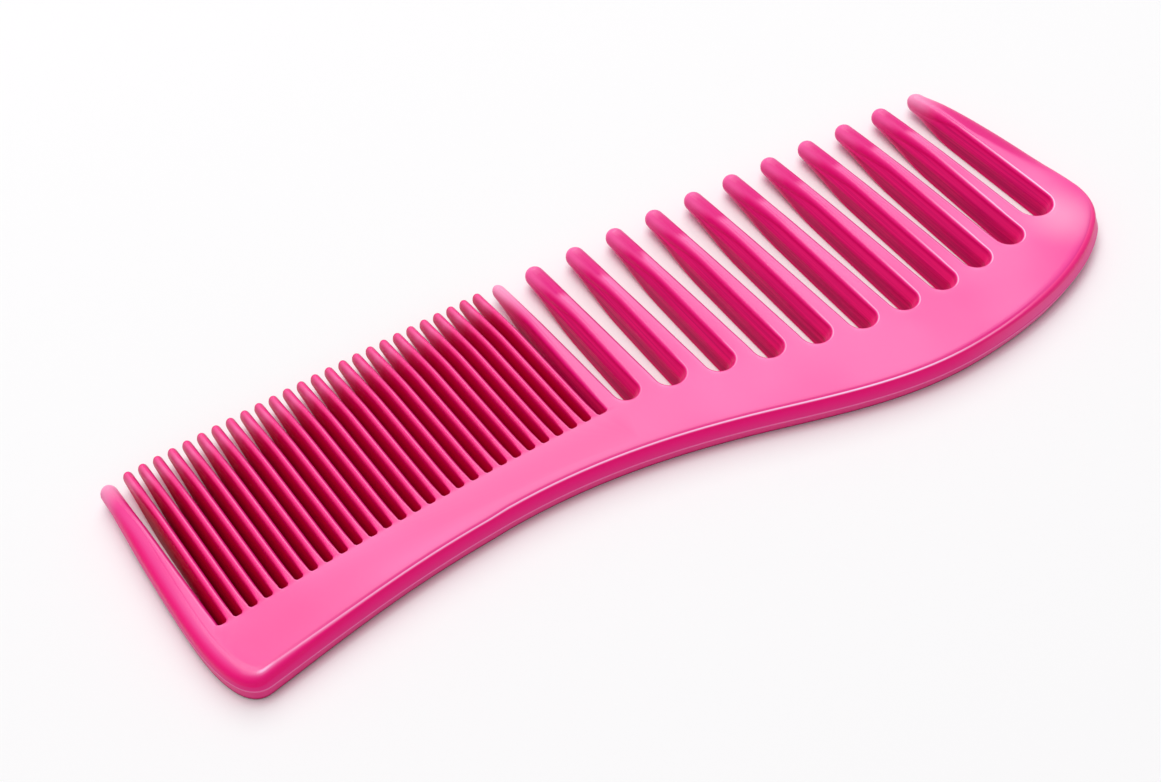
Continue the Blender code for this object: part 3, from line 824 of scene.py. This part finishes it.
plastic = {
    # the top: the plastic's own pink with painted sheen, painted deeper at the heel and the wide end
    "face": (0.93, 0.125, 0.39, 1),
    "heelFace": (0.92, 0.028, 0.28, 1),
    "wideFace": (0.93, 0.075, 0.35, 1),
    "endFace": (0.93, 0.052, 0.33, 1),
    # painted sheen: cloudy patches and a spot near the wide end
    "patch": (1.0, 0.145, 0.44, 1),
    "sheen": (1.0, 0.27, 0.52, 1),
    "fineFace": (1.0, 0.020, 0.25, 1),
    "edge": (0.92, 0.005, 0.22, 1),       # the rounded shoulders
    # painted light on the heel's outer bevel, painted shade on the fine teeth's shoulders
    "heelEdge": (0.90, 0.052, 0.29, 1),
    "fineEdge": (0.70, 0.001, 0.10, 1),
    "facet": (1.0, 0.110, 0.41, 1),       # painted light on the near side of the tips
    "outerWall": (0.96, 0.006, 0.22, 1),
    # painted reflection of the floor on the outer wall's lower part
    "outerLow": (0.84, 0.040, 0.25, 1),
    "foot": (0.26, 0.001, 0.075, 1),      # painted contact shadow on the last bit of wall above the floor
    "wall": (0.96, 0.020, 0.24, 1),
    "gap": (0.47, 0.002, 0.11, 1),        # painted shade low down between the teeth
    # painted shade on the fine teeth's walls and low down between them
    "fineWall": (0.76, 0.0006, 0.075, 1),
    "fineGap": (0.42, 0.0004, 0.024, 1),
    # painted shade: dark lines where the shoulders meet the walls, a dark band below the back's highlight and
    # a dark line just inside it
    "crease": (0.80, 0.001, 0.16, 1),
    "edgeCrease": (0.95, 0.0005, 0.19, 1),
    "innerCrease": (0.72, 0.001, 0.20, 1),
    # painted shade on the walls and edges that face right
    "dusk": (0.62, 0.004, 0.17, 1),
    "flush": (0.78, 0.008, 0.21, 1),      # painted shade behind the tips and on the end guard's far side, where the surface turns away from the light
    # painted highlight on the rims
    "gleam": (1.0, 0.68, 0.96, 1),
    # painted light on the parting line, the right part of the tops and the wall where the back turns up
    "glow": (1.0, 0.30, 0.62, 1),
    # painted light that shines through the thin tips
    "tip": (1.0, 0.42, 0.64, 1),
    "fineTip": (1.0, 0.19, 0.46, 1),

    # how strongly each shows
    "patchShare": 0.6,
    "sheenShare": 0.9,
    "facetShare": 0.8,
    "streakShare": 1.6,
    "creaseShare": 0.92,
    "footShare": 0.85,
    "glowShare": 0.55,
    "flushShare": 0.95,
    "duskShare": 0.8,
    "tipWallFade": 0.5,

    # places in metres along the comb
    "heelReach": (-0.095, -0.040),
    "heelEdgeReach": (-0.088, -0.070),
    "wideReach": (-0.020, 0.010),
    "endReach": (0.03, 0.08),
    "sheenPlace": (0.0815, -0.0168, 0.0055),
    "sheenSize": 0.0095,

    # places on the rounded edge, from 0 on the wall to 1 on the face
    "flankRise": (0.45, 1.0),
    "wallRise": 0.30,
    "tipWallRise": 0.3,                   # the wall's colour and painted shade climb higher near the tips
    "innerRise": (0.85, 1.0),
    "facetReach": (0.60, 1.0),            # towards the tip

    # heights, from 0 at the floor to 1 at the top
    "lowHeight": (0.12, 0.86),
    "sideHeight": (0.45, 0.85),
    "footHeight": (0.03, 0.14),

    # noise: scale, detail, roughness
    "lineStretch": (30.0, 30.0, 2200.0),
    "lines": (1.0, 2.0, 0.65),
    "clouds": (42.0, 1.5, 0.4),
    "cloudRange": (0.45, 0.70),
    "scuffs": (240.0, 3.0, 0.5),
    "scuffShare": 0.08,
    "sinks": (55.0, 1.0, 0.5),
    "sinkDepth": 0.0006,
    "sinkStrength": 0.5,

    "roughness": 0.30,
    "shine": 0.08,
    "ior": 1.49,
    "coat": 0.60,
    "coatRoughness": 0.14,
    "flankDull": 0.70,                    # how much of the coat's gloss is lost there
    "wallDull": 0.85,
    "flushDull": 0.9,
    "duskDull": 0.9,
    "creaseDull": 0.7,
}


def newMaterial(name):
    material = bpy.data.materials.new(name)
    material.use_nodes = True
    return material, Wire(material.node_tree), material.node_tree.nodes["Principled BSDF"]


def pinkPlastic():
    material, wire, shader = newMaterial("hotPinkPlastic")
    spots = wire.add("TexCoord", out="Object")

    def painted(name):
        return wire.add("Attribute", {"attribute_name": name}, out="Fac")

    rise, deep, pale, bank = painted("rise"), painted("deep"), painted("pale"), painted("bank")
    outer, full, flush = painted("outer"), painted("full"), painted("flush")
    crease, dusk = painted("crease"), painted("dusk")
    along = wire.add("SeparateXYZ", inputs={"Vector": spots}, out="X")
    # 0 at the floor and 1 at the top
    height = wire.add("SeparateXYZ", inputs={"Vector": spots}, out="Z") * (0.5 / comb["halfThickness"])
    flank = 1 - rise.between(*plastic["flankRise"])      # 1 on the walls, fading over the shoulders
    wallTop = full * (1 - bank) * (1 - outer) * plastic["tipWallRise"] + plastic["wallRise"]
    wall = 1 - rise.between(0.0, wallTop)
    low = 1 - height.between(*plastic["lowHeight"])

    # fine lines along the walls, left by the mould
    stretched = wire.add("Mapping", inputs={"Vector": spots, "Scale": plastic["lineStretch"]})
    lines = wire.noise(stretched, *plastic["lines"])
    streaks = (lines - 0.5) * wall * deep * (1 - bank)

    # the top is the plastic's pink with painted sheen: painted deeper at the heel and the wide end, with soft
    # cloudy patches of painted sheen and a painted sheen spot near the wide end
    clouds = wire.noise(spots, *plastic["clouds"]).between(*plastic["cloudRange"])
    face = along.between(*plastic["heelReach"]).colours(plastic["heelFace"], plastic["face"])
    face = along.between(*plastic["wideReach"]).colours(face, plastic["wideFace"])
    face = along.between(*plastic["endReach"]).colours(face, plastic["endFace"])
    face = (clouds * plastic["patchShare"]).colours(face, plastic["patch"])
    ends = {0: spots, 1: plastic["sheenPlace"]}
    away = wire.add("VectorMath", {"operation": "DISTANCE"}, ends, out="Value")
    sheen = 1 - away.between(0.0, plastic["sheenSize"])
    face = (sheen * plastic["sheenShare"]).colours(face, plastic["sheen"])
    face = (bank * painted("top")).colours(face, plastic["fineFace"])

    # rounded edges, painted lighter on the heel's outer bevel and the near side of the tips, and painted
    # darker on the fine teeth's shoulders
    edge = bank.colours(plastic["edge"], plastic["fineEdge"])
    heelEdge = outer * (1 - along.between(*plastic["heelEdgeReach"]))
    edge = heelEdge.colours(edge, plastic["heelEdge"])
    facet = full.between(*plastic["facetReach"]) * (1 - flush) * (1 - bank)
    edge = (facet * plastic["facetShare"]).colours(edge, plastic["facet"])
    tone = flank.colours(face, edge)

    # walls between the teeth and round the outside, with painted shade low between the teeth and on the fine
    # teeth's walls, a painted reflection of the floor low on the outer wall, painted shade in the creases and
    # a painted contact shadow at the foot
    tone = (wall * deep).colours(tone, bank.colours(plastic["wall"], plastic["fineWall"]))
    side = height.between(*plastic["sideHeight"]).colours(plastic["outerLow"], plastic["outerWall"])
    tone = (wall * outer).colours(tone, side)
    shaded = wall * deep * low + streaks * plastic["streakShare"]
    tone = shaded.colours(tone, bank.colours(plastic["gap"], plastic["fineGap"]))
    creased = outer.colours(plastic["crease"], plastic["edgeCrease"])
    creased = (outer * rise.between(*plastic["innerRise"])).colours(creased, plastic["innerCrease"])
    tone = (crease * plastic["creaseShare"]).colours(tone, creased)
    foot = (1 - height.between(*plastic["footHeight"])) * outer
    tone = (foot * plastic["footShare"]).colours(tone, plastic["foot"])

    # painted light and shade
    tone = (painted("glow") * plastic["glowShare"]).colours(tone, plastic["glow"])
    tone = (flush * plastic["flushShare"]).colours(tone, plastic["flush"])
    tone = (dusk * plastic["duskShare"]).colours(tone, plastic["dusk"])
    tipTone = bank.colours(plastic["tip"], plastic["fineTip"])
    tone = (pale * (1 - wall * plastic["tipWallFade"])).colours(tone, tipTone)
    tone = painted("gleam").colours(tone, plastic["gleam"])
    tone.feed(shader, "Base Color")

    scuffs = (wire.noise(spots, *plastic["scuffs"]) - 0.5) * plastic["scuffShare"]
    (scuffs + plastic["roughness"]).feed(shader, "Roughness")
    gloss = (1 - flank * plastic["flankDull"]) * (1 - wall * plastic["wallDull"])
    gloss = gloss * (1 - flush * plastic["flushDull"]) * (1 - dusk * plastic["duskDull"])
    gloss = gloss * (1 - crease * plastic["creaseDull"]) * (1 - foot)
    (gloss * plastic["coat"]).feed(shader, "Coat Weight")

    sunk = wire.noise(spots, *plastic["sinks"]) * plastic["sinkDepth"]
    bump = {"Height": sunk, "Strength": plastic["sinkStrength"], "Distance": 1.0}
    wire.add("Bump", inputs=bump, out="Normal").feed(shader, "Normal")
    shader.inputs["IOR"].default_value = plastic["ior"]
    shader.inputs["Specular IOR Level"].default_value = plastic["shine"]
    shader.inputs["Coat Roughness"].default_value = plastic["coatRoughness"]
    shader.inputs["Coat IOR"].default_value = plastic["ior"]
    return material


combPiece.data.materials.append(pinkPlastic())
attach(combPiece, "root")
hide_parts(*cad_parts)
print("plastic ready")

# floor, light and camera
studio = {
    "floorSize": 4.0,
    "floorSquares": 8,
    "floorColour": (0.935, 0.935, 0.935, 1),
    "floorRoughness": 0.8,
    "floorShine": 0.1,
    "airColour": (1.0, 0.955, 1.0, 1),
    "airStrength": 0.40,
    "backgroundStrength": 1.0,
    "lampColour": (0.985, 1.0, 0.985),
    "keyPlace": (0.60, 1.05, 1.65),
    "keySize": 1.5,
    "keyPower": 15.7,
    "overheadPlace": (-0.25, 0.25, 2.10),
    "overheadSize": 1.6,
    "overheadPower": 21.1,
    "cameraPlace": (-0.129242, -0.169062, 0.245019),
    "cameraTurn": (40.5428, 0.8178, -35.2172),        # degrees
    "lens": 58.0567,
    "sensorWidth": 36,
    "clipStart": 0.01,
}

bpy.ops.object.select_all(action="DESELECT")
squares = studio["floorSquares"]
bpy.ops.mesh.primitive_grid_add(x_subdivisions=squares, y_subdivisions=squares, size=studio["floorSize"])
floor = bpy.context.object
floor.name = "studioFloor"
floorMaterial, _, floorShader = newMaterial("paleFloor")
floorShader.inputs["Base Color"].default_value = studio["floorColour"]
floorShader.inputs["Roughness"].default_value = studio["floorRoughness"]
floorShader.inputs["Specular IOR Level"].default_value = studio["floorShine"]
floor.data.materials.append(floorMaterial)


def softbox(name, place, size, power):
    # a square soft light that faces the comb
    bpy.ops.object.light_add(type="AREA", location=place)
    lamp = bpy.context.object
    lamp.name = name
    lamp.data.shape = "RECTANGLE"
    lamp.data.size = lamp.data.size_y = size
    lamp.data.energy = power
    lamp.data.color = studio["lampColour"]
    lamp.rotation_euler = (-Vector(place)).to_track_quat("-Z", "Y").to_euler()


softbox("keyBox", studio["keyPlace"], studio["keySize"], studio["keyPower"])
softbox("overheadBox", studio["overheadPlace"], studio["overheadSize"], studio["overheadPower"])

world = bpy.data.worlds.new("studioAir")
bpy.context.scene.world = world
world.use_nodes = True
air, background = Wire(world.node_tree), world.node_tree.nodes["Background"]
background.inputs["Color"].default_value = studio["airColour"]
rays = ("Is Camera Ray", "Is Glossy Ray", "Is Transmission Ray")
seen = sum(air.add("LightPath", out=name) for name in rays).between(0.0, 1.0)
strength = seen * (studio["backgroundStrength"] - studio["airStrength"]) + studio["airStrength"]
strength.feed(background, "Strength")

bpy.ops.object.camera_add(location=studio["cameraPlace"])
camera = bpy.context.object
camera.rotation_euler = [math.radians(angle) for angle in studio["cameraTurn"]]
camera.data.lens = studio["lens"]
camera.data.sensor_width = studio["sensorWidth"]
camera.data.clip_start = studio["clipStart"]
bpy.context.scene.camera = camera
bpy.context.scene.view_settings.view_transform = "Standard"
print("studio set")
